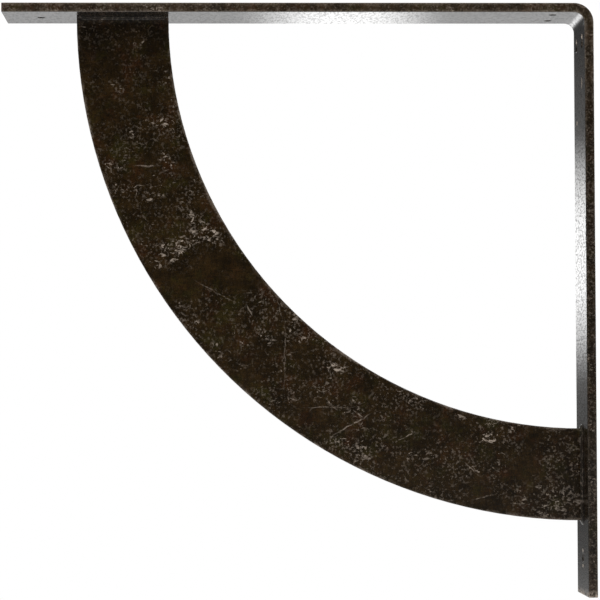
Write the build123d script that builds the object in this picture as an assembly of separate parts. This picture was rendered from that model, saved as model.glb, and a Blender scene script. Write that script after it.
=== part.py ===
from build123d import *
from math import radians, tan
import os

# Decorative steel bracket: a flat bar bent once into an L, a flat quarter-ring brace
# standing on edge between its two legs, and a fillet weld round each foot of the brace.
# Millimetres, +Z up. X=0 is the wall plane, with the wall on its +X side. The origin
# lies on the wall plane at mid width, midway between the two upper wall screws.

# Flat bar
bar_width = 57.15
bar_thickness = 6.35
shelf_leg = 405.0
wall_leg = 406.4
bend_inner_radius = 7.0
edge_round = 0.5

# Screw holes: plain in the shelf leg, lightly countersunk from the inner face in the wall leg
screw_hole_radius = 2.7
countersink_radius = 4.1
countersink_angle = 82.0
wall_screws_from_corner = 25.4
shelf_screws_from_corner = 26.4
screw_from_tip = 25.4
screw_pair_spacing = 28.6

# Quarter-ring brace
brace_thickness = 6.35
brace_band_width = 63.4
tip_beyond_brace = 50.0

# Fillet welds round the feet of the brace
weld_leg_on_bar = 3.0
weld_leg_on_brace = 2.0
weld_toe = 0.3
weld_hollow = 0.25

# How far a cutting shape runs past the face that it cuts
cut_room = 2.0

# Places that follow from the sizes above
bend_outer_radius = bend_inner_radius + bar_thickness
shelf_plane = wall_screws_from_corner
wall_tip = shelf_plane - wall_leg
inner_x = -bar_thickness
inner_z = shelf_plane - bar_thickness
brace_outer_radius = min(shelf_leg, wall_leg) - bar_thickness - tip_beyond_brace
brace_inner_radius = brace_outer_radius - brace_band_width
brace_middle_radius = brace_outer_radius - brace_band_width / 2


# Bent bar
def bar_outline():
    """Side outline of the bar: two straight legs and one round bend."""
    outside = FilletPolyline(
        (-shelf_leg, shelf_plane), (0, shelf_plane), (0, wall_tip), radius=bend_outer_radius
    )
    inside = FilletPolyline(
        (inner_x, wall_tip), (inner_x, inner_z), (-shelf_leg, inner_z), radius=bend_inner_radius
    )
    tips = Line(outside @ 1, inside @ 0) + Line(inside @ 1, outside @ 0)
    return make_face(Plane.XZ * (outside + inside + tips))


def is_at_a_tip(edge):
    """True for an edge at the free end of either leg."""
    middle = edge.center()
    near = edge_round / 10
    return middle.X < near - shelf_leg or middle.Z < wall_tip + near


def rounded_bar():
    """The bar with its long edges and its tips broken, and no holes yet."""
    bar = extrude(bar_outline(), amount=bar_width / 2, both=True)
    long_edges = bar.faces().filter_by(Axis.Y).edges()
    tip_edges = bar.edges().filter_by(Axis.Y).filter_by(is_at_a_tip)
    return fillet(long_edges + tip_edges, edge_round)


def plain_hole():
    """Cutting shape of one plain hole, straight down from a face at Z=0."""
    return Pos(0, 0, -bar_thickness / 2) * Cylinder(screw_hole_radius, bar_thickness + 2 * cut_room)


def countersunk_hole():
    """Cutting shape of one hole with a countersink, which opens upwards in a face at Z=0."""
    slope = tan(radians(countersink_angle / 2))
    sink_depth = (countersink_radius - screw_hole_radius) / slope
    sink = Cone(
        bottom_radius=screw_hole_radius,
        top_radius=countersink_radius + cut_room * slope,
        height=sink_depth + cut_room,
        align=(Align.CENTER, Align.CENTER, Align.MIN),
    )
    return plain_hole() + Pos(0, 0, -sink_depth) * sink


def leg_screws(leg, from_corner):
    """The three screws of one leg: distance from its outer corner, and place across the bar."""
    to_side = screw_pair_spacing / 2
    return [(from_corner, -to_side), (from_corner, to_side), (leg - screw_from_tip, 0)]


def bent_bar():
    """The bent bar with its six screw holes."""
    bar = rounded_bar()
    for along, across in leg_screws(shelf_leg, shelf_screws_from_corner):
        bar -= Location((-along, across, inner_z), (180, 0, 0)) * plain_hole()
    for along, across in leg_screws(wall_leg, wall_screws_from_corner):
        bar -= Location((inner_x, across, shelf_plane - along), (0, -90, 0)) * countersunk_hole()
    return bar


# Curved brace
def curved_brace():
    """The quarter ring about the bar's inner corner, in the middle of the bar's width."""
    centre = (inner_x, inner_z)
    outside = CenterArc(centre, brace_outer_radius, 180, 90)
    inside = CenterArc(centre, brace_inner_radius, 180, 90)
    feet = Line(outside @ 0, inside @ 0) + Line(outside @ 1, inside @ 1)
    outline = make_face(Plane.XZ * (outside + inside + feet))
    ring = extrude(outline, amount=brace_thickness / 2, both=True)
    return fillet(ring.edges().filter_by(GeomType.CIRCLE), edge_round)


# Fillet welds
def weld_section():
    """Section of a weld: X outwards from the brace's face, Y up from the bar's face."""
    hollow = SagittaArc((weld_leg_on_bar, weld_toe), (weld_toe, weld_leg_on_brace), weld_hollow)
    sides = Polyline(hollow @ 1, (0, weld_leg_on_brace), (0, 0), (weld_leg_on_bar, 0), hollow @ 0)
    return make_face(hollow + sides)


def weld_side(reach, run):
    """One straight side of a weld and the round corner that ends it, reach out from the middle."""
    start = Plane(origin=(-run / 2, reach, 0), x_dir=(0, 1, 0), z_dir=(1, 0, 0))
    section = start * weld_section()
    corner = revolve(section, Axis((-run / 2, reach, 0), (0, 0, 1)), 90)
    return extrude(section, amount=run) + corner


def foot_weld(foot, brace):
    """The weld all round one foot of the brace, on the plane of the bar under that foot."""
    weld = Pos(0, 0, weld_leg_on_brace / 2) * Box(brace_band_width, brace_thickness, weld_leg_on_brace)
    for turn in (0, 180):
        weld += Rot(0, 0, turn) * weld_side(brace_thickness / 2, brace_band_width)
        weld += Rot(0, 0, turn + 90) * weld_side(brace_band_width / 2, brace_thickness)
    return foot * weld - brace


# The planes of the bar's inner faces under the two feet of the brace
shelf_foot = Plane(origin=(inner_x - brace_middle_radius, 0, inner_z), x_dir=(1, 0, 0), z_dir=(0, 0, -1))
wall_foot = Plane(origin=(inner_x, 0, inner_z - brace_middle_radius), x_dir=(0, 0, 1), z_dir=(-1, 0, 0))

brace = curved_brace()
pieces = {
    "bent_bar": bent_bar(),
    "curved_brace": brace,
    "shelf_weld": foot_weld(shelf_foot, brace),
    "wall_weld": foot_weld(wall_foot, brace),
}

os.makedirs("parts", exist_ok=True)
for name, piece in pieces.items():
    export_step(piece, f"parts/{name}.step")
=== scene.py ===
import math

import bmesh
import bpy
from mathutils import Matrix, Vector


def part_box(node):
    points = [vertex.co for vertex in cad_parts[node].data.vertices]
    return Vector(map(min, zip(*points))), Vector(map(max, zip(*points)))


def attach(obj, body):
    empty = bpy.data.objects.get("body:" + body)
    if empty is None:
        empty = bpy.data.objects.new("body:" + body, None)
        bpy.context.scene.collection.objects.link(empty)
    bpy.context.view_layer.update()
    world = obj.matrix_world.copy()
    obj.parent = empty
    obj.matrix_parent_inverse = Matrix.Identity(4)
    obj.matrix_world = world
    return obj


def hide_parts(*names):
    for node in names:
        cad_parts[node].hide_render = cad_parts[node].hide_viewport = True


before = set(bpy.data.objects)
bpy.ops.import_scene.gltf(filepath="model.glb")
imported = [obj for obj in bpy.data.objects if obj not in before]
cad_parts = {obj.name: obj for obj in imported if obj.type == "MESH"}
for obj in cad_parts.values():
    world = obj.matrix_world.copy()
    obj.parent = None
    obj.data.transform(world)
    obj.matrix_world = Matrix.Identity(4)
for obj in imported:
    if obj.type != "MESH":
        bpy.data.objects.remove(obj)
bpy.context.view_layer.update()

# Bent bar: hot rolled flat steel, cut to length, drilled, and then bent once into an L.
# It is sprayed with a dark brown lacquer, which is rubbed through to a greyish brown
# along its edges and in scattered specks. The brace stands on its inner faces.
MM_IN_A_METRE = 1000.0
bar_low, bar_high = [corner * MM_IN_A_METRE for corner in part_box("bent_bar")]
brace_low, brace_high = [corner * MM_IN_A_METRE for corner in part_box("curved_brace")]
BAR_HALF_WIDTH_MM = bar_high.y
BAR_THICKNESS_MM = bar_high.x - brace_high.x
BEND_OUTER_RADIUS_MM = 13.35
BEND_AXIS_MM = (bar_high.x - BEND_OUTER_RADIUS_MM, 0.0, bar_high.z - BEND_OUTER_RADIUS_MM)
SHELF_TIP_MM = bar_low.x
WALL_TIP_MM = bar_low.z
INNER_FACE_MM = brace_high.x


def paint(red, green, blue):
    """A colour as it looks on a screen, 0 to 255, as the shader's own light values."""
    screen = [value / 255 for value in (red, green, blue)]
    return (*[s / 12.92 if s < 0.04045 else ((s + 0.055) / 1.055) ** 2.4 for s in screen], 1.0)


def put(tree, kind, sockets=None, **settings):
    """A new node with its settings, and each named socket joined or given its value."""
    node = tree.nodes.new("ShaderNode" + kind)
    for name, value in settings.items():
        setattr(node, name, value)
    for name, value in (sockets or {}).items():
        if isinstance(value, bpy.types.NodeSocket):
            tree.links.new(value, node.inputs[name])
        else:
            node.inputs[name].default_value = value
    return node


def work(tree, operation, *values):
    """The result of one step of arithmetic."""
    return put(tree, "Math", dict(enumerate(values)), operation=operation).outputs[0]


def left_over(tree, share):
    """What a share leaves of the whole."""
    return work(tree, "SUBTRACT", 1.0, share)


def vector_work(tree, operation, *values):
    """The result of one step of vector arithmetic."""
    node = put(tree, "VectorMath", dict(enumerate(values)), operation=operation)
    return node.outputs["Value" if operation == "LENGTH" else "Vector"]


def side_view(tree, vector):
    """The vector as seen from the bracket's side, with nothing left of it across the bar."""
    return vector_work(tree, "MULTIPLY", vector, (1.0, 0.0, 1.0))


def scaled(tree, vector, amount):
    """A vector or a colour times one amount."""
    return put(tree, "VectorMath", {0: vector, "Scale": amount}, operation="SCALE").outputs["Vector"]


def ramp(tree, value, start, end, low=0.0, high=1.0):
    """A soft step from low, where value is at start, to high, where it is at end."""
    sockets = {"Value": value, "From Min": start, "From Max": end, "To Min": low, "To Max": high}
    return put(tree, "MapRange", sockets, interpolation_type="SMOOTHSTEP").outputs["Result"]


def mingle(tree, amount, first, second):
    """Two colours mixed by an amount."""
    return put(tree, "Mix", {0: amount, 6: first, 7: second}, data_type="RGBA").outputs[2]


def stretch(tree, place, scale, turn=(0.0, 0.0, 0.0)):
    """The same place, scaled and turned."""
    sockets = {"Vector": place, "Scale": scale, "Rotation": turn}
    return put(tree, "Mapping", sockets, vector_type="POINT").outputs["Vector"]


def noise(tree, place, size, detail=2.0, rough=0.5, swirl=0.0):
    """Soft noise that repeats about every size millimetres."""
    sockets = {"Vector": place, "Scale": 1 / size, "Detail": detail}
    sockets.update({"Roughness": rough, "Distortion": swirl})
    return put(tree, "TexNoise", sockets)


def blotches(tree, place, kind):
    """Blotches, from a row with their size in millimetres, their detail, how ragged they are,
    the noise at which they start and are full, and their strength at both."""
    size, detail, rough, start, full, low, high = kind
    return ramp(tree, noise(tree, place, size, detail, rough).outputs["Fac"], start, full, low, high)


def shader_group(name, inputs, outputs):
    """An empty node group with those sockets, and its two ends."""
    tree = bpy.data.node_groups.new(name, "ShaderNodeTree")
    for label, kind in inputs:
        tree.interface.new_socket(label, in_out="INPUT", socket_type="NodeSocket" + kind)
    for label, kind in outputs:
        tree.interface.new_socket(label, in_out="OUTPUT", socket_type="NodeSocket" + kind)
    given = tree.nodes.new("NodeGroupInput").outputs
    result = tree.nodes.new("NodeGroupOutput").inputs
    return tree, given, result


def use_group(tree, group, sockets):
    """A group placed in a material, with its sockets joined or given their values."""
    return put(tree, "Group", sockets, node_tree=group).outputs


LACQUER_CLOUDS = (14.0, 5.0, 0.65, 0.36, 0.66, 0.0, 1.0)
RED_STAINS = (19.0, 5.0, 0.65, 0.5, 0.7, 0.0, 0.6)
RED_STAIN_SHIFT_MM = (80.0, 40.0, 20.0)
OLIVE_STAINS = (17.0, 5.0, 0.65, 0.5, 0.7, 0.0, 0.7)
OLIVE_STAIN_SHIFT_MM = (-60.0, 10.0, 90.0)
GRAIN_SIZE_MM = 1.3
GRAIN_DETAIL = 1.0
GRAIN_LEVEL_STRETCH = (0.3, 1.0, 1.0)
GRAIN_UPRIGHT_STRETCH = (1.0, 1.0, 0.3)
GRAIN_STEP = (0.78, 1.25, 0.76, 1.28)


def mottled_lacquer_group():
    """Dark and brown clouds with red and olive stains, and a fine crossed grain over them."""
    colours = [("Dark", "Color"), ("Brown", "Color"), ("Red", "Color"), ("Olive", "Color")]
    tree, given, result = shader_group(
        "mottled_lacquer", [("Place", "Vector"), *colours], [("Colour", "Color")],
    )
    place = given["Place"]
    clouds = blotches(tree, place, LACQUER_CLOUDS)
    colour = mingle(tree, clouds, given["Dark"], given["Brown"])
    red_place = vector_work(tree, "ADD", place, RED_STAIN_SHIFT_MM)
    colour = mingle(tree, blotches(tree, red_place, RED_STAINS), colour, given["Red"])
    olive_place = vector_work(tree, "ADD", place, OLIVE_STAIN_SHIFT_MM)
    colour = mingle(tree, blotches(tree, olive_place, OLIVE_STAINS), colour, given["Olive"])
    level_place = stretch(tree, place, GRAIN_LEVEL_STRETCH)
    level = noise(tree, level_place, GRAIN_SIZE_MM, GRAIN_DETAIL).outputs["Fac"]
    upright_place = stretch(tree, place, GRAIN_UPRIGHT_STRETCH)
    upright = noise(tree, upright_place, GRAIN_SIZE_MM, GRAIN_DETAIL).outputs["Fac"]
    grain = ramp(tree, work(tree, "ADD", level, upright), *GRAIN_STEP)
    tree.links.new(scaled(tree, colour, grain), result["Colour"])
    return tree


# The noise of the specks: size in millimetres, detail, raggedness and swirl.
SPECK_BLOTS = (2.5, 2.0, 0.5, 0.7)
SPECK_STROKES = (2.1, 2.0, 0.5, 0.5)
STROKE_STRETCH = (0.5, 1.0, 1.0)
STROKE_TURN = (0.0, math.radians(-48.0), 0.0)
SPECKS_START_AT = 0.72
SPECKS_START_LOWER_BY = 0.2
SPECK_RISE = 0.13
SPECK_STRENGTH = (0.25, 1.1)
SPECK_PALENESS = (4.0, 2.0, 0.5, 0.35, 0.65, 0.4, 0.9)
FINE_DUST = (1.9, 2.0, 0.6, 0.53, 0.68, 0.0, 1.0)
DUST_WHERE_WORN = 0.15


def rubbed_specks_group():
    """Specks, short strokes and their tangles, more of them and paler where the wear is higher."""
    tree, given, result = shader_group(
        "rubbed_specks", [("Place", "Vector"), ("Wear", "Float"), ("Dust", "Float")], [("Specks", "Float")],
    )
    place, wear = given["Place"], given["Wear"]
    blots = noise(tree, place, *SPECK_BLOTS).outputs["Fac"]
    falling = stretch(tree, place, STROKE_STRETCH, STROKE_TURN)
    strokes = noise(tree, falling, *SPECK_STROKES).outputs["Fac"]
    tangle = work(tree, "MAXIMUM", blots, strokes)
    start = work(tree, "MULTIPLY_ADD", wear, -SPECKS_START_LOWER_BY, SPECKS_START_AT)
    above = work(tree, "SUBTRACT", tangle, start)
    paleness = blotches(tree, place, SPECK_PALENESS)
    strength = work(tree, "MULTIPLY", paleness, ramp(tree, wear, 0.0, 1.0, *SPECK_STRENGTH))
    bold = work(tree, "MULTIPLY", ramp(tree, above, 0.0, SPECK_RISE), strength)
    dustiness = work(tree, "MULTIPLY_ADD", wear, DUST_WHERE_WORN, given["Dust"])
    faint = work(tree, "MULTIPLY", blotches(tree, place, FINE_DUST), dustiness)
    tree.links.new(work(tree, "MAXIMUM", bold, faint), result["Specks"])
    return tree


EDGE_RAGGEDNESS = (7.0, 4.0, 0.65, 0.35, 0.65, 0.25, 1.25)
EDGE_SPECKLE = (1.3, 2.0, 0.6, 0.3, 0.62, 0.2, 1.0)


def edge_wear_group():
    """A ragged pale band that starts at an edge and fades out within its reach."""
    tree, given, result = shader_group(
        "edge_wear", [("Place", "Vector"), ("From edge", "Float"), ("Reach", "Float")], [("Wear", "Float")],
    )
    place = given["Place"]
    reach = work(tree, "MULTIPLY", given["Reach"], blotches(tree, place, EDGE_RAGGEDNESS))
    share = work(tree, "DIVIDE", given["From edge"], reach)
    speckle = blotches(tree, place, EDGE_SPECKLE)
    band = work(tree, "MULTIPLY", ramp(tree, share, 1.0, 0.0), speckle)
    tree.links.new(band, result["Wear"])
    return tree


# A mark starts and is full at these shares of its half size.
MARK_FADE = (1.35, 0.65)


def marked_place_group():
    """One marked place: how much of its strength holds here, nothing outside its ellipse."""
    shape = [("Middle", "Vector"), ("Turn", "Vector"), ("Half size", "Vector"), ("Strength", "Float")]
    tree, given, result = shader_group(
        "marked_place", [("Place", "Vector"), *shape], [("Amount", "Float")],
    )
    sockets = {"Vector": given["Place"], "Location": given["Middle"]}
    sockets.update({"Rotation": given["Turn"], "Scale": given["Half size"]})
    local = put(tree, "Mapping", sockets, vector_type="TEXTURE").outputs["Vector"]
    near = ramp(tree, vector_work(tree, "LENGTH", local), *MARK_FADE)
    tree.links.new(work(tree, "MULTIPLY", near, given["Strength"]), result["Amount"])
    return tree


mottled_lacquer = mottled_lacquer_group()
rubbed_specks = rubbed_specks_group()
edge_wear = edge_wear_group()
marked_place = marked_place_group()


def shake(tree, place, size, amount):
    """The same place, pushed about by noise, so that what is drawn there comes out ragged."""
    push = vector_work(tree, "SUBTRACT", noise(tree, place, size).outputs["Color"], (0.5, 0.5, 0.5))
    return vector_work(tree, "MULTIPLY_ADD", push, (amount, 0.0, amount), place)


def strongest_mark(tree, place, marks):
    """The strongest of several marked places."""
    strongest = None
    for middle, half_size, turn, strength in marks:
        sockets = {"Place": place, "Middle": middle, "Half size": half_size}
        sockets.update({"Turn": turn, "Strength": strength})
        amount = use_group(tree, marked_place, sockets)["Amount"]
        strongest = amount if strongest is None else work(tree, "MAXIMUM", strongest, amount)
    return strongest


def start_material(name):
    """A new material with its shader, and the object's place in millimetres."""
    material = bpy.data.materials.new(name)
    material.use_nodes = True
    tree = material.node_tree
    in_metres = put(tree, "TexCoord").outputs["Object"]
    place = stretch(tree, in_metres, (MM_IN_A_METRE, MM_IN_A_METRE, MM_IN_A_METRE))
    return material, tree, tree.nodes["Principled BSDF"], place


LACQUER_DARK = (19, 11, 1)
LACQUER_BROWN = (33, 22, 6)
LACQUER_RED = (43, 22, 6)
LACQUER_OLIVE = (32, 28, 5)
RUBBED_AND_GLINT_BROWN = (150, 137, 124)
LACQUER_ROUGHNESS = 0.17
RUBBED_ROUGHNESS = 0.5
LACQUER_IOR = 1.38
SKIN_SIZE_MM = 1.6
SKIN_STRETCH = (1.0, 0.2, 1.0)


def finish_lacquer(tree, shader, place, paled_amount, roughness, skin, tone_and_painted_shade):
    """The lacquer's colour, gloss and skin, darkened by the given tone and painted shade, with the paled
    places, rubbed wear and the bar's painted highlights, paler and duller.
    """
    sockets = {"Place": place, "Dark": paint(*LACQUER_DARK), "Brown": paint(*LACQUER_BROWN)}
    sockets.update({"Red": paint(*LACQUER_RED), "Olive": paint(*LACQUER_OLIVE)})
    lacquer = scaled(tree, use_group(tree, mottled_lacquer, sockets)["Colour"], tone_and_painted_shade)
    colour = mingle(tree, paled_amount, lacquer, paint(*RUBBED_AND_GLINT_BROWN))
    tree.links.new(colour, shader.inputs["Base Color"])
    dulled = ramp(tree, paled_amount, 0.0, 1.0, roughness, RUBBED_ROUGHNESS)
    tree.links.new(dulled, shader.inputs["Roughness"])
    height = noise(tree, stretch(tree, place, SKIN_STRETCH), SKIN_SIZE_MM).outputs["Fac"]
    strength, depth = skin
    bump = put(tree, "Bump", {"Height": height, "Strength": strength, "Distance": depth})
    tree.links.new(bump.outputs["Normal"], shader.inputs["Normal"])
    shader.inputs["IOR"].default_value = LACQUER_IOR


# The bar's own wear: its edges, its patches of specks, and a thin haze on the outside.
BAR_EDGE_WEAR_REACH_MM = 3.0
BAR_EDGE_WEAR = 0.2
BAR_PATCHES = (26.0, 3.0, 0.6, 0.42, 0.66, 0.1, 0.7)
BAR_SPECKS = 0.6
BAR_SPECK_FINENESS = 1.5
BAR_DUST = 0.2
BAR_HAZE = (2.6, 3.0, 0.6, 0.3, 0.7, 0.012, 0.048)
# Its inner faces are darkened with painted shade, and are less worn. They start this deep under the outer
# face.
INNER_SKIN_MM = (5.9, 6.3)
INNER_PAINTED_SHADE = 0.6
INNER_LESS_WORN_BY = 0.75
# Its long narrow sides, down to this depth. On the wall leg they are darker and have more
# specks, most of all beside the weld.
SIDE_SKIN_MM = (0.6, 0.3)
WALL_SIDE_FROM_Z_MM = (0.0, -60.0)
WALL_SIDE_WEAR = 0.5
WALL_SIDE_DARKNESS = 0.4
BESIDE_WELD_Z_MM = -305.0
BESIDE_WELD_REACH_MM = 42.0
BESIDE_WELD_WEAR = 0.65
# Going down the wall leg, the haze and the worn edges fade between these two heights, to
# the first of these two shares.
WALL_LEG_FADE = (-60.0, 15.0, 0.3, 1.0)
# The foot of the wall leg is paler, in ragged flecks.
FOOT_PALE_REACH_MM = 7.0
FOOT_RAGGEDNESS_MM = 4.0
FOOT_FLECKS = (1.8, 2.0, 0.5, 0.35, 0.65, 0.0, 0.95)
# Pale places on the wall leg's inner face: y and z of the middle, half width and half height in
# millimetres, turn in degrees, and how strong each is. The four at the rims of its screw holes
# are painted highlights, the glints of the countersinks; the other two are pale marks.
INNER_MARKS = [
    (-14.3, 4.2, 3.2, 1.6, 0, 1.0),
    (14.3, 4.2, 3.2, 1.6, 0, 1.0),
    (-12.0, -28.0, 1.6, 3.8, 15, 0.7),
    (14.0, -53.0, 2.4, 1.4, 0, 0.7),
    (0.0, -350.4, 3.0, 1.2, 0, 0.6),
    (0.0, -361.0, 3.0, 1.2, 0, 0.7),
]
INNER_MARK_DEPTH_MM = 4.0
INNER_MARK_SHAKE_MM = (2.0, 1.5)
# Fine dull spots in the gloss, and the skin's strength and depth in metres.
BAR_GLOSS = (1.5, 1.0, 0.5, 0.45, 0.65, 0.15, 0.25)
BAR_GLOSS_STRETCH = (1.0, 0.25, 1.0)
BAR_SKIN = (0.6, 0.00012)


def on_inner_face(marks):
    """Marks on the wall leg's inner face, from their rows."""
    placed = []
    for y, z, half_width, half_height, turn, strength in marks:
        half_size = (INNER_MARK_DEPTH_MM, half_width, half_height)
        placed.append(((INNER_FACE_MM, y, z), half_size, (math.radians(turn), 0.0, 0.0), strength))
    return placed


bar_coat, tree, shader, place = start_material("bar_lacquer")
split = put(tree, "SeparateXYZ", {"Vector": place}).outputs
from_axis = vector_work(tree, "SUBTRACT", place, BEND_AXIS_MM)
past_axis = side_view(tree, vector_work(tree, "MAXIMUM", from_axis, (0.0, 0.0, 0.0)))
from_outer = work(tree, "SUBTRACT", BEND_OUTER_RADIUS_MM, vector_work(tree, "LENGTH", past_axis))
from_face = work(tree, "MINIMUM", from_outer, work(tree, "SUBTRACT", BAR_THICKNESS_MM, from_outer))
from_side = work(tree, "SUBTRACT", BAR_HALF_WIDTH_MM, work(tree, "ABSOLUTE", split["Y"]))
from_shelf_tip = work(tree, "SUBTRACT", split["X"], SHELF_TIP_MM)
from_wall_tip = work(tree, "SUBTRACT", split["Z"], WALL_TIP_MM)
from_tip = work(tree, "MINIMUM", from_shelf_tip, from_wall_tip)
nearest = work(tree, "MINIMUM", from_face, from_side)
second = work(tree, "MINIMUM", work(tree, "MAXIMUM", from_face, from_side), from_tip)
from_edge = work(tree, "MAXIMUM", nearest, second)

on_inner = ramp(tree, from_outer, *INNER_SKIN_MM)
outside = left_over(tree, on_inner)
on_side = ramp(tree, from_side, *SIDE_SKIN_MM)
wall_side = work(tree, "MULTIPLY", on_side, ramp(tree, split["Z"], *WALL_SIDE_FROM_Z_MM))
less_on_wall_leg = ramp(tree, split["Z"], *WALL_LEG_FADE)

from_weld = work(tree, "ABSOLUTE", work(tree, "SUBTRACT", split["Z"], BESIDE_WELD_Z_MM))
beside_weld = ramp(tree, from_weld, BESIDE_WELD_REACH_MM, 0.0, 0.0, BESIDE_WELD_WEAR)
beside_weld = work(tree, "MULTIPLY", beside_weld, on_side)
side_wear = work(tree, "MULTIPLY", wall_side, WALL_SIDE_WEAR)
patches = work(tree, "MAXIMUM", blotches(tree, place, BAR_PATCHES), side_wear)
patches = work(tree, "MAXIMUM", patches, beside_weld)
less_inside = work(tree, "MULTIPLY_ADD", on_inner, -INNER_LESS_WORN_BY, 1.0)
wear = work(tree, "MULTIPLY", patches, less_inside)
fine_place = stretch(tree, place, (BAR_SPECK_FINENESS, BAR_SPECK_FINENESS, BAR_SPECK_FINENESS))
dust = work(tree, "MULTIPLY", outside, BAR_DUST)
specks = use_group(tree, rubbed_specks, {"Place": fine_place, "Wear": wear, "Dust": dust})["Specks"]
specks = work(tree, "MULTIPLY", specks, BAR_SPECKS)

sockets = {"Place": place, "From edge": from_edge, "Reach": BAR_EDGE_WEAR_REACH_MM}
edges = work(tree, "MULTIPLY", use_group(tree, edge_wear, sockets)["Wear"], BAR_EDGE_WEAR)
edges = work(tree, "MULTIPLY", edges, less_on_wall_leg)
raggedness = noise(tree, place, FOOT_RAGGEDNESS_MM).outputs["Fac"]
foot = ramp(tree, work(tree, "ADD", from_wall_tip, raggedness), FOOT_PALE_REACH_MM, 0.0)
foot = work(tree, "MULTIPLY", foot, blotches(tree, place, FOOT_FLECKS))
haze = work(tree, "MULTIPLY", outside, less_on_wall_leg)
haze = work(tree, "MULTIPLY", blotches(tree, place, BAR_HAZE), haze)
paled = work(tree, "ADD", specks, work(tree, "MAXIMUM", foot, edges))
paled = work(tree, "ADD", paled, haze)
shaken = shake(tree, place, *INNER_MARK_SHAKE_MM)
# The inner marks put painted highlights at the screw holes' rims among the paled places.
paled = work(tree, "MAXIMUM", paled, strongest_mark(tree, shaken, on_inner_face(INNER_MARKS)))

# Painted shade darkens the inner faces; the wall leg's narrow sides are darker in tone.
tone_and_painted_shade = work(tree, "MULTIPLY_ADD", on_inner, -INNER_PAINTED_SHADE, 1.0)
tone_and_painted_shade = work(tree, "MULTIPLY_ADD", wall_side, -WALL_SIDE_DARKNESS, tone_and_painted_shade)
gloss = blotches(tree, stretch(tree, place, BAR_GLOSS_STRETCH), BAR_GLOSS)
finish_lacquer(tree, shader, place, paled, gloss, BAR_SKIN, tone_and_painted_shade)
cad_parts["bent_bar"].material_slots[0].material = bar_coat

# Curved brace: a quarter ring cut from steel plate, standing on edge along the middle of
# the bar and sprayed with the same lacquer. Its front is scuffed in patches, where the
# lacquer is rubbed through in short strokes, and has a few long scratches.
BRACE_CENTRE_MM = (brace_high.x, 0.0, brace_high.z)
BRACE_OUTER_RADIUS_MM = brace_high.x - brace_low.x
BRACE_BAND_MM = 63.4
BRACE_INNER_RADIUS_MM = BRACE_OUTER_RADIUS_MM - BRACE_BAND_MM
BRACE_HALF_THICKNESS_MM = brace_high.y
# The front is all that lies this far forward of the bar's middle, or further.
BRACE_FRONT_MM = -2.6
BRACE_FRONT_FADE_MM = 0.4
BRACE_EDGE_WEAR_REACH_MM = 2.6
BRACE_EDGE_WEAR = 0.42
BRACE_EDGE_BREAKS = (18.0, 3.0, 0.6, 0.4, 0.6, 0.15, 1.0)
SCATTERED_WEAR = (38.0, 4.0, 0.6, 0.4, 0.66, 0.0, 0.64)
SCATTERED_ALONG_X = (-350.0, -170.0, 0.6, 1.0)
FAR_SIDE_WEAR = (30.0, 3.0, 0.6, 0.5, 0.68, 0.0, 0.9)
BRACE_HAZE = (34.0, 4.0, 0.6, 0.4, 0.62, 0.01, 0.2)
HAZE_ALONG_X = (-350.0, -150.0, 0.4, 1.0)
SCRATCH_BREAKS = (2.2, 2.0, 0.5, 0.38, 0.62, 0.1, 0.8)
BRACE_SKIN = (0.12, 0.00004)
# How much the marks are shaken: the noise's size and the push, in millimetres.
SCUFF_SHAKE_MM = (9.0, 9.0)
SCRATCH_SHAKE_MM = (5.0, 2.6)
MARK_DEPTH_MM = 40.0
# Places on the front: x and z of the middle, half length and half width in millimetres,
# turn in degrees from level, and how much is rubbed through there.
SCUFFS = [
    (-314, 3, 4, 8, 8, 0.55),
    (-327, -29, 8, 4, -38, 0.55),
    (-308, -43, 7, 3, -10, 0.45),
    (-287, -50, 7, 17, 12, 0.5),
    (-294, -54, 12, 3, 0, 0.85),
    (-317, -63, 2, 4, 8, 0.9),
    (-310, -69, 5, 7, 0, 0.5),
    (-293, -82, 6, 9, 15, 0.6),
    (-330, -86, 8, 5, -20, 0.65),
    (-294, -93, 9, 5, -15, 0.55),
    (-313, -102, 21, 7, -6, 0.62),
    (-270, -123, 11, 5, -48, 0.75),
    (-262, -133, 10, 5, -25, 0.75),
    (-280, -135, 13, 7, 25, 0.75),
    (-289, -142, 12, 9, 30, 0.8),
    (-296, -151, 8, 4, 20, 0.75),
    (-275, -192, 5, 6, 0, 0.6),
    (-224, -203, 8, 4, -45, 0.75),
    (-176, -225, 7, 5, -10, 0.75),
    (-218, -245, 6, 6, -30, 0.5),
    (-172, -276, 13, 5, -12, 0.7),
    (-118, -285, 16, 4, -5, 0.6),
    (-91, -259, 5, 2, -10, 0.9),
    (-72, -273, 7, 4, 15, 0.85),
    (-50, -314, 5, 8, 0, 0.5),
    (-32, -307, 8, 7, 25, 0.6),
    (-11, -292, 5, 12, 0, 0.5),
]
SCRATCHES = [
    (-306, -84, 9, 0.5, 0, 0.38),
    (-260, -171, 14, 0.4, -29, 0.36),
    (-236, -184, 4, 0.5, -62, 0.5),
    (-215, -185, 7, 0.4, -75, 0.35),
    (-212, -214, 22, 0.35, 90, 0.28),
    (-181, -251, 16, 0.35, 0, 0.4),
    (-166, -263, 13, 0.45, 29, 0.55),
    (-161, -256, 4, 0.5, -40, 0.55),
    (-128, -271, 7, 0.4, 28, 0.5),
    (-83, -294, 7, 0.35, -40, 0.42),
    (-67, -294, 3, 0.4, -40, 0.55),
    (-75, -313, 9, 0.4, 15, 0.4),
]
# Places on the front that stayed clean, given as the scuffs are.
CLEAN_PLACES = [
    (-252, -158, 26, 13, -15, 0.9),
    (-290, -167, 22, 10, 5, 0.8),
]


def on_front_face(marks):
    """Marks on the brace's front, from their rows."""
    placed = []
    for x, z, half_length, half_width, turn, strength in marks:
        half_size = (half_length, MARK_DEPTH_MM, half_width)
        placed.append(((x, BRACE_FRONT_MM, z), half_size, (0.0, -math.radians(turn), 0.0), strength))
    return placed


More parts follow.
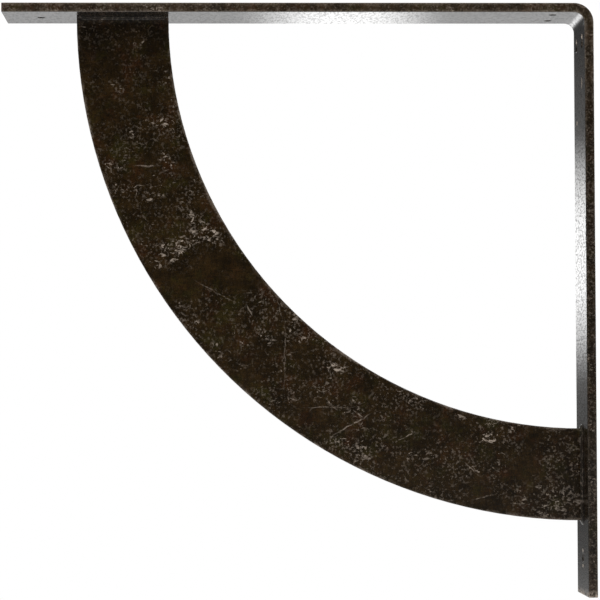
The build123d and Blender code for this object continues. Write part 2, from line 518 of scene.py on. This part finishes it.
brace_coat, tree, shader, place = start_material("brace_lacquer")
split = put(tree, "SeparateXYZ", {"Vector": place}).outputs
from_centre = side_view(tree, vector_work(tree, "SUBTRACT", place, BRACE_CENTRE_MM))
radius = vector_work(tree, "LENGTH", from_centre)
from_outer_rim = work(tree, "SUBTRACT", BRACE_OUTER_RADIUS_MM, radius)
from_inner_rim = work(tree, "SUBTRACT", radius, BRACE_INNER_RADIUS_MM)
from_side = work(tree, "SUBTRACT", BRACE_HALF_THICKNESS_MM, work(tree, "ABSOLUTE", split["Y"]))
from_edge = work(tree, "MAXIMUM", from_side, work(tree, "MINIMUM", from_outer_rim, from_inner_rim))
on_front = ramp(tree, split["Y"], BRACE_FRONT_MM + BRACE_FRONT_FADE_MM, BRACE_FRONT_MM)
shaken = shake(tree, place, *SCUFF_SHAKE_MM)

scuffed = strongest_mark(tree, shaken, on_front_face(SCUFFS))
scuffed = work(tree, "MULTIPLY", scuffed, on_front)
clean = strongest_mark(tree, shaken, on_front_face(CLEAN_PLACES))
unclean = left_over(tree, work(tree, "MULTIPLY", clean, on_front))
scattered = blotches(tree, place, SCATTERED_WEAR)
scattered = work(tree, "MULTIPLY", scattered, ramp(tree, split["X"], *SCATTERED_ALONG_X))
scattered = work(tree, "MULTIPLY", scattered, unclean)
far_side = work(tree, "MULTIPLY", blotches(tree, place, FAR_SIDE_WEAR), left_over(tree, on_front))
wear = work(tree, "MAXIMUM", scattered, work(tree, "MAXIMUM", far_side, scuffed))
dust = work(tree, "MULTIPLY", blotches(tree, place, BRACE_HAZE), ramp(tree, split["X"], *HAZE_ALONG_X))
dust = work(tree, "MULTIPLY", dust, unclean)
specks = use_group(tree, rubbed_specks, {"Place": place, "Wear": wear, "Dust": dust})["Specks"]

sockets = {"Place": place, "From edge": from_edge, "Reach": BRACE_EDGE_WEAR_REACH_MM}
edges = work(tree, "MULTIPLY", use_group(tree, edge_wear, sockets)["Wear"], BRACE_EDGE_WEAR)
edges = work(tree, "MULTIPLY", edges, blotches(tree, place, BRACE_EDGE_BREAKS))
scratched = strongest_mark(tree, shake(tree, place, *SCRATCH_SHAKE_MM), on_front_face(SCRATCHES))
scratched = work(tree, "MULTIPLY", scratched, on_front)
scratched = work(tree, "MULTIPLY", scratched, blotches(tree, place, SCRATCH_BREAKS))
paled = work(tree, "MAXIMUM", work(tree, "MAXIMUM", specks, scratched), edges)
finish_lacquer(tree, shader, place, paled, LACQUER_ROUGHNESS, BRACE_SKIN, 1.0)
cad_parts["curved_brace"].material_slots[0].material = brace_coat

# Weld beads: steel weld metal, laid by hand in overlapping ripples round each end of the
# brace, where it meets the bar, and lacquered over with the rest. The sizes are in metres.
BEAD_LEG_ON_BAR = 0.003
BEAD_LEG_ON_BRACE = 0.002
BEAD_TOE = 0.0003
BEAD_HOLLOW = 0.0002
BEAD_LIP = 0.00002
BEAD_STEPS = 10
BEAD_PIECE = 0.0003
BEAD_CORNER = 0.0034
BEAD_CORNER_SEGMENTS = 12
RIPPLE_LENGTH = 0.0017
RIPPLE_HEIGHT = 0.00014
RIPPLE_CURVE = 0.0012
BRACE_BAND = BRACE_BAND_MM / MM_IN_A_METRE
BRACE_THICKNESS = 0.00635
shelf_bead_x = brace_low.x / MM_IN_A_METRE + BRACE_BAND / 2
wall_bead_z = brace_low.z / MM_IN_A_METRE + BRACE_BAND / 2
SHELF_BEAD_MIDDLE = (shelf_bead_x, 0.0, brace_high.z / MM_IN_A_METRE)
SHELF_BEAD_PAST_RIM = -0.0004
WALL_BEAD_MIDDLE = (brace_high.x / MM_IN_A_METRE, 0.0, wall_bead_z)
WALL_BEAD_PAST_RIM = 0.003
WELD_CROWNS = (3.0, 3.0, 0.6, 0.5, 0.7, 0.15, 0.9)
WELD_DUST = 0.25
WELD_ROUGHNESS = 0.3
WELD_SKIN = (0.12, 0.00004)
# The weld's lacquer is darkened with painted shade, for the corner where the brace meets the bar.
WELD_PAINTED_SHADE = 0.4


def weld_bead(name, node, middle, turn, past_rim):
    """A rippled bead round the brace's end, made flat on the bar and then turned into place."""
    mesh = bmesh.new()
    bmesh.ops.create_grid(mesh, x_segments=1, y_segments=1, size=0.5)
    size = (BRACE_BAND + 2 * past_rim, BRACE_THICKNESS + 2 * BEAD_LEG_ON_BAR, 1.0)
    bmesh.ops.scale(mesh, vec=size, verts=mesh.verts)
    bmesh.ops.bevel(
        mesh, geom=mesh.verts[:], offset=BEAD_CORNER, segments=BEAD_CORNER_SEGMENTS,
        profile=0.5, affect="VERTICES", material=-1,
    )
    for edge in [e for e in mesh.edges if e.calc_length() > 2 * BEAD_PIECE]:
        cuts = round(edge.calc_length() / BEAD_PIECE) - 1
        bmesh.ops.subdivide_edges(mesh, edges=[edge], cuts=cuts)
    face = mesh.faces[:][0]
    if face.normal.z < 0:
        face.normal_flip()
    outline = [corner.vert.co for corner in face.loops]
    along = [0.0]
    for first, second in zip(outline, outline[1:]):
        along.append(along[-1] + (second - first).length)
    ripples = round(along[-1] / RIPPLE_LENGTH)
    last_in, last_up = 0.0, 0.0
    for step in range(BEAD_STEPS + 1):
        share = step / BEAD_STEPS
        hollow = BEAD_HOLLOW * math.sin(math.pi * share)
        inward = BEAD_LIP + share * (BEAD_LEG_ON_BAR - BEAD_LIP)
        upward = BEAD_TOE + share * (BEAD_LEG_ON_BRACE - BEAD_TOE) - hollow
        bmesh.ops.inset_region(
            mesh, faces=[face], thickness=inward - last_in, depth=upward - last_up,
            use_boundary=True, use_even_offset=True,
        )
        last_in, last_up = inward, upward
    rings = [[corner.vert for corner in face.loops]]
    passed = set(rings[0])
    for step in range(BEAD_STEPS):
        ends = [(edge, vert) for vert in rings[-1] for edge in vert.link_edges]
        ring = [edge.other_vert(vert) for edge, vert in ends if edge.other_vert(vert) not in passed]
        passed.update(ring)
        rings.append(ring)
    rings.reverse()
    mesh.normal_update()
    moves = []
    for step, ring in enumerate(rings):
        swell = math.sin(math.pi * step / BEAD_STEPS)
        for vert, run in zip(ring, along):
            phase = (run + RIPPLE_CURVE * swell) / along[-1] * ripples * 2 * math.pi
            moves.append((vert, vert.normal * (RIPPLE_HEIGHT * swell * math.cos(phase))))
    for vert, move in moves:
        vert.co += move
    grown = bmesh.ops.extrude_face_region(mesh, geom=[face])["geom"]
    down = [piece for piece in grown if isinstance(piece, bmesh.types.BMVert)]
    bmesh.ops.translate(mesh, vec=(0.0, 0.0, -BEAD_LEG_ON_BRACE), verts=down)
    bmesh.ops.delete(mesh, geom=[f for f in mesh.faces if len(f.verts) > 4], context="FACES")
    bmesh.ops.bridge_loops(mesh, edges=[edge for edge in mesh.edges if edge.is_boundary])
    bmesh.ops.recalc_face_normals(mesh, faces=mesh.faces)
    for piece in mesh.faces:
        piece.smooth = True
    bmesh.ops.transform(mesh, matrix=Matrix.Translation(middle) @ turn, verts=mesh.verts)
    data = bpy.data.meshes.new(name)
    mesh.to_mesh(data)
    mesh.free()
    bead = bpy.data.objects.new(name, data)
    bpy.context.scene.collection.objects.link(bead)
    data.materials.append(weld_coat)
    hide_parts(node)
    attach(bead, "root")


weld_coat, tree, shader, place = start_material("weld_lacquer")
crowns = blotches(tree, place, WELD_CROWNS)
specks = use_group(tree, rubbed_specks, {"Place": place, "Wear": crowns, "Dust": WELD_DUST})["Specks"]
finish_lacquer(tree, shader, place, specks, WELD_ROUGHNESS, WELD_SKIN, WELD_PAINTED_SHADE)
downward = Matrix.Rotation(math.pi, 4, "X")
outward = Matrix.Rotation(-math.pi / 2, 4, "Y")
weld_bead("shelf_weld_bead", "shelf_weld", SHELF_BEAD_MIDDLE, downward, SHELF_BEAD_PAST_RIM)
weld_bead("wall_weld_bead", "wall_weld", WALL_BEAD_MIDDLE, outward, WALL_BEAD_PAST_RIM)

# Camera: a long lens almost square to the bracket's side. It stands a little left of the
# bracket's middle and a little below it, and looks slightly up and to the right.
CAMERA_PLACE = (-0.2527, -1.85888, -0.24907)
CAMERA_YAW = -0.0277
CAMERA_PITCH = 0.0388
CAMERA_ROLL = 0.0035
CAMERA_SENSOR = 36.0
CAMERA_LENS = 161.567

camera_data = bpy.data.cameras.new("camera")
camera_data.sensor_width = CAMERA_SENSOR
camera_data.lens = CAMERA_LENS
camera = bpy.data.objects.new("camera", camera_data)
bpy.context.scene.collection.objects.link(camera)
aim = Matrix.Rotation(CAMERA_YAW, 4, "Z") @ Matrix.Rotation(CAMERA_PITCH, 4, "X")
aim = aim @ Matrix.Rotation(CAMERA_ROLL, 4, "Y") @ Matrix.Rotation(math.pi / 2, 4, "X")
camera.matrix_world = Matrix.Translation(CAMERA_PLACE) @ aim
bpy.context.scene.camera = camera

# Floor: a pale studio floor well below the bracket, which hangs on its wall face. Near the
# bracket it takes a shadow, and far off it runs out into white.
FLOOR_HEIGHT = -1.6
FLOOR_RADIUS = 40.0
FLOOR_SEGMENTS = 128
FLOOR_COLOUR = (0.8, 0.8, 0.8, 1.0)
FLOOR_LIFT = 0.5
FLOOR_NEAR = 3.0
FLOOR_FAR = 6.0
FLOOR_BRIGHT_TO = 9.0
FLOOR_DIM_FROM = 26.0
FLOOR_DIM = 0.1
FLOOR_BRIGHT = 1.1


def stage_object(name, mesh, material):
    """A part of the studio, which isn't part of the bracket."""
    data = bpy.data.meshes.new(name)
    mesh.to_mesh(data)
    mesh.free()
    stage = bpy.data.objects.new(name, data)
    bpy.context.scene.collection.objects.link(stage)
    data.materials.append(material)
    return stage


floor_paint = bpy.data.materials.new("floor_paint")
floor_paint.use_nodes = True
tree = floor_paint.node_tree
tree.nodes.clear()
from_middle = vector_work(tree, "LENGTH", put(tree, "TexCoord").outputs["Object"])
inverse = work(tree, "DIVIDE", 1.0, from_middle)
fade = ramp(tree, inverse, 1 / FLOOR_DIM_FROM, 1 / FLOOR_BRIGHT_TO, FLOOR_DIM, FLOOR_BRIGHT)
seen = put(tree, "LightPath").outputs["Is Camera Ray"]
strength = work(tree, "MAXIMUM", seen, fade)
far_white = put(tree, "Emission", {"Strength": strength}).outputs[0]
lift = put(tree, "Emission", {"Strength": FLOOR_LIFT}).outputs[0]
matt = put(tree, "BsdfDiffuse", {"Color": FLOOR_COLOUR}).outputs[0]
near_floor = put(tree, "AddShader", {0: lift, 1: matt}).outputs[0]
reach = ramp(tree, from_middle, FLOOR_NEAR, FLOOR_FAR)
surface = put(tree, "MixShader", {0: reach, 1: near_floor, 2: far_white}).outputs[0]
put(tree, "OutputMaterial", {"Surface": surface})
mesh = bmesh.new()
bmesh.ops.create_circle(mesh, cap_ends=True, segments=FLOOR_SEGMENTS, radius=FLOOR_RADIUS)
floor = stage_object("floor", mesh, floor_paint)
floor.location = (0.0, 0.0, FLOOR_HEIGHT)

# Back light: one soft lamp panel behind the bracket, brightest in its middle. The glossy
# inner faces mirror it as the pale band along each leg, and the camera doesn't see it.
PANEL_MIDDLE = (-0.127, 0.97, -0.096)
PANEL_HALF_WIDTH = 0.115
PANEL_HALF_HEIGHT = 0.15
PANEL_FULL_WITHIN = 0.02
PANEL_GLOW = 2.85
SPILL_HALF_HEIGHT = 0.25
SPILL_FULL_WITHIN = 0.12
SPILL = 0.055

panel_glow = bpy.data.materials.new("panel_glow")
panel_glow.use_nodes = True
tree = panel_glow.node_tree
tree.nodes.clear()
split = put(tree, "SeparateXYZ", {"Vector": put(tree, "TexCoord").outputs["Object"]}).outputs
across = ramp(tree, work(tree, "ABSOLUTE", split["X"]), PANEL_HALF_WIDTH, PANEL_FULL_WITHIN)
height = work(tree, "ABSOLUTE", split["Y"])
spill = ramp(tree, height, SPILL_HALF_HEIGHT, SPILL_FULL_WITHIN, 0.0, SPILL)
up = work(tree, "MAXIMUM", ramp(tree, height, PANEL_HALF_HEIGHT, PANEL_FULL_WITHIN), spill)
glow = put(tree, "Emission", {"Strength": PANEL_GLOW}).outputs[0]
clear = put(tree, "BsdfTransparent").outputs[0]
surface = put(tree, "MixShader", {0: work(tree, "MULTIPLY", across, up), 1: clear, 2: glow}).outputs[0]
put(tree, "OutputMaterial", {"Surface": surface})
mesh = bmesh.new()
bmesh.ops.create_grid(mesh, x_segments=1, y_segments=1, size=1.0)
bmesh.ops.scale(mesh, vec=(PANEL_HALF_WIDTH, SPILL_HALF_HEIGHT, 1.0), verts=mesh.verts)
panel = stage_object("back_light_panel", mesh, panel_glow)
panel.rotation_euler = (math.pi / 2, 0.0, 0.0)
panel.location = PANEL_MIDDLE
panel.visible_camera = False

# Studio lamps: large soft boxes on every side, level enough that a colour renders about as
# it is written.
LAMP_TARGET = Vector((-0.2, 0.0, -0.18))
LAMP_DISTANCE = 3.0
LAMP_SIZE = 1.6
# Each lamp's name, the way to it from the bracket, and its power in watts.
LAMPS = [
    ("left_front", (-1.0, -0.75, 0.7), 72),
    ("right_front", (1.0, -0.75, 1.6), 66),
    ("left_back", (-1.0, 0.8, 1.7), 55),
    ("right_back", (1.0, 0.8, 0.4), 55),
]

for name, way, power in LAMPS:
    lamp_data = bpy.data.lights.new(name, "AREA")
    lamp_data.size = LAMP_SIZE
    lamp_data.energy = power
    lamp = bpy.data.objects.new(name, lamp_data)
    bpy.context.scene.collection.objects.link(lamp)
    toward = Vector(way).normalized()
    facing = toward.to_track_quat("Z", "Y").to_matrix().to_4x4()
    lamp.matrix_world = Matrix.Translation(LAMP_TARGET + toward * LAMP_DISTANCE) @ facing
    lamp.visible_camera = False

# Studio air: dim all round, with a white backdrop behind the bracket that the camera and
# the glossy faces see.
STUDIO_DIM = 0.08
BACKDROP_WAY = (0.14, 0.98, 0.06)
BACKDROP_HALF_SIZE = (0.14, 1.0, 0.22)
BACKDROP_FADE = (1.0, 0.7)
STUDIO_WHITE = (1.0, 1.0, 1.0, 1.0)

world = bpy.data.worlds.new("studio")
bpy.context.scene.world = world
world.use_nodes = True
tree = world.node_tree
tree.nodes.clear()
way = put(tree, "TexCoord").outputs["Generated"]
sockets = {"Vector": way, "Location": BACKDROP_WAY, "Scale": BACKDROP_HALF_SIZE}
local = put(tree, "Mapping", sockets, vector_type="TEXTURE").outputs["Vector"]
behind = ramp(tree, vector_work(tree, "LENGTH", local), *BACKDROP_FADE)
ray = put(tree, "LightPath").outputs
mirrored = work(tree, "MAXIMUM", ray["Is Glossy Ray"], ray["Is Transmission Ray"])
white = work(tree, "MAXIMUM", ray["Is Camera Ray"], work(tree, "MULTIPLY", mirrored, behind))
dim_air = put(tree, "Background", {"Color": STUDIO_WHITE, "Strength": STUDIO_DIM}).outputs[0]
white_air = put(tree, "Background", {"Color": STUDIO_WHITE, "Strength": 1.0}).outputs[0]
surface = put(tree, "MixShader", {0: white, 1: dim_air, 2: white_air}).outputs[0]
put(tree, "OutputWorld", {"Surface": surface})

bpy.context.scene.view_settings.view_transform = "Standard"
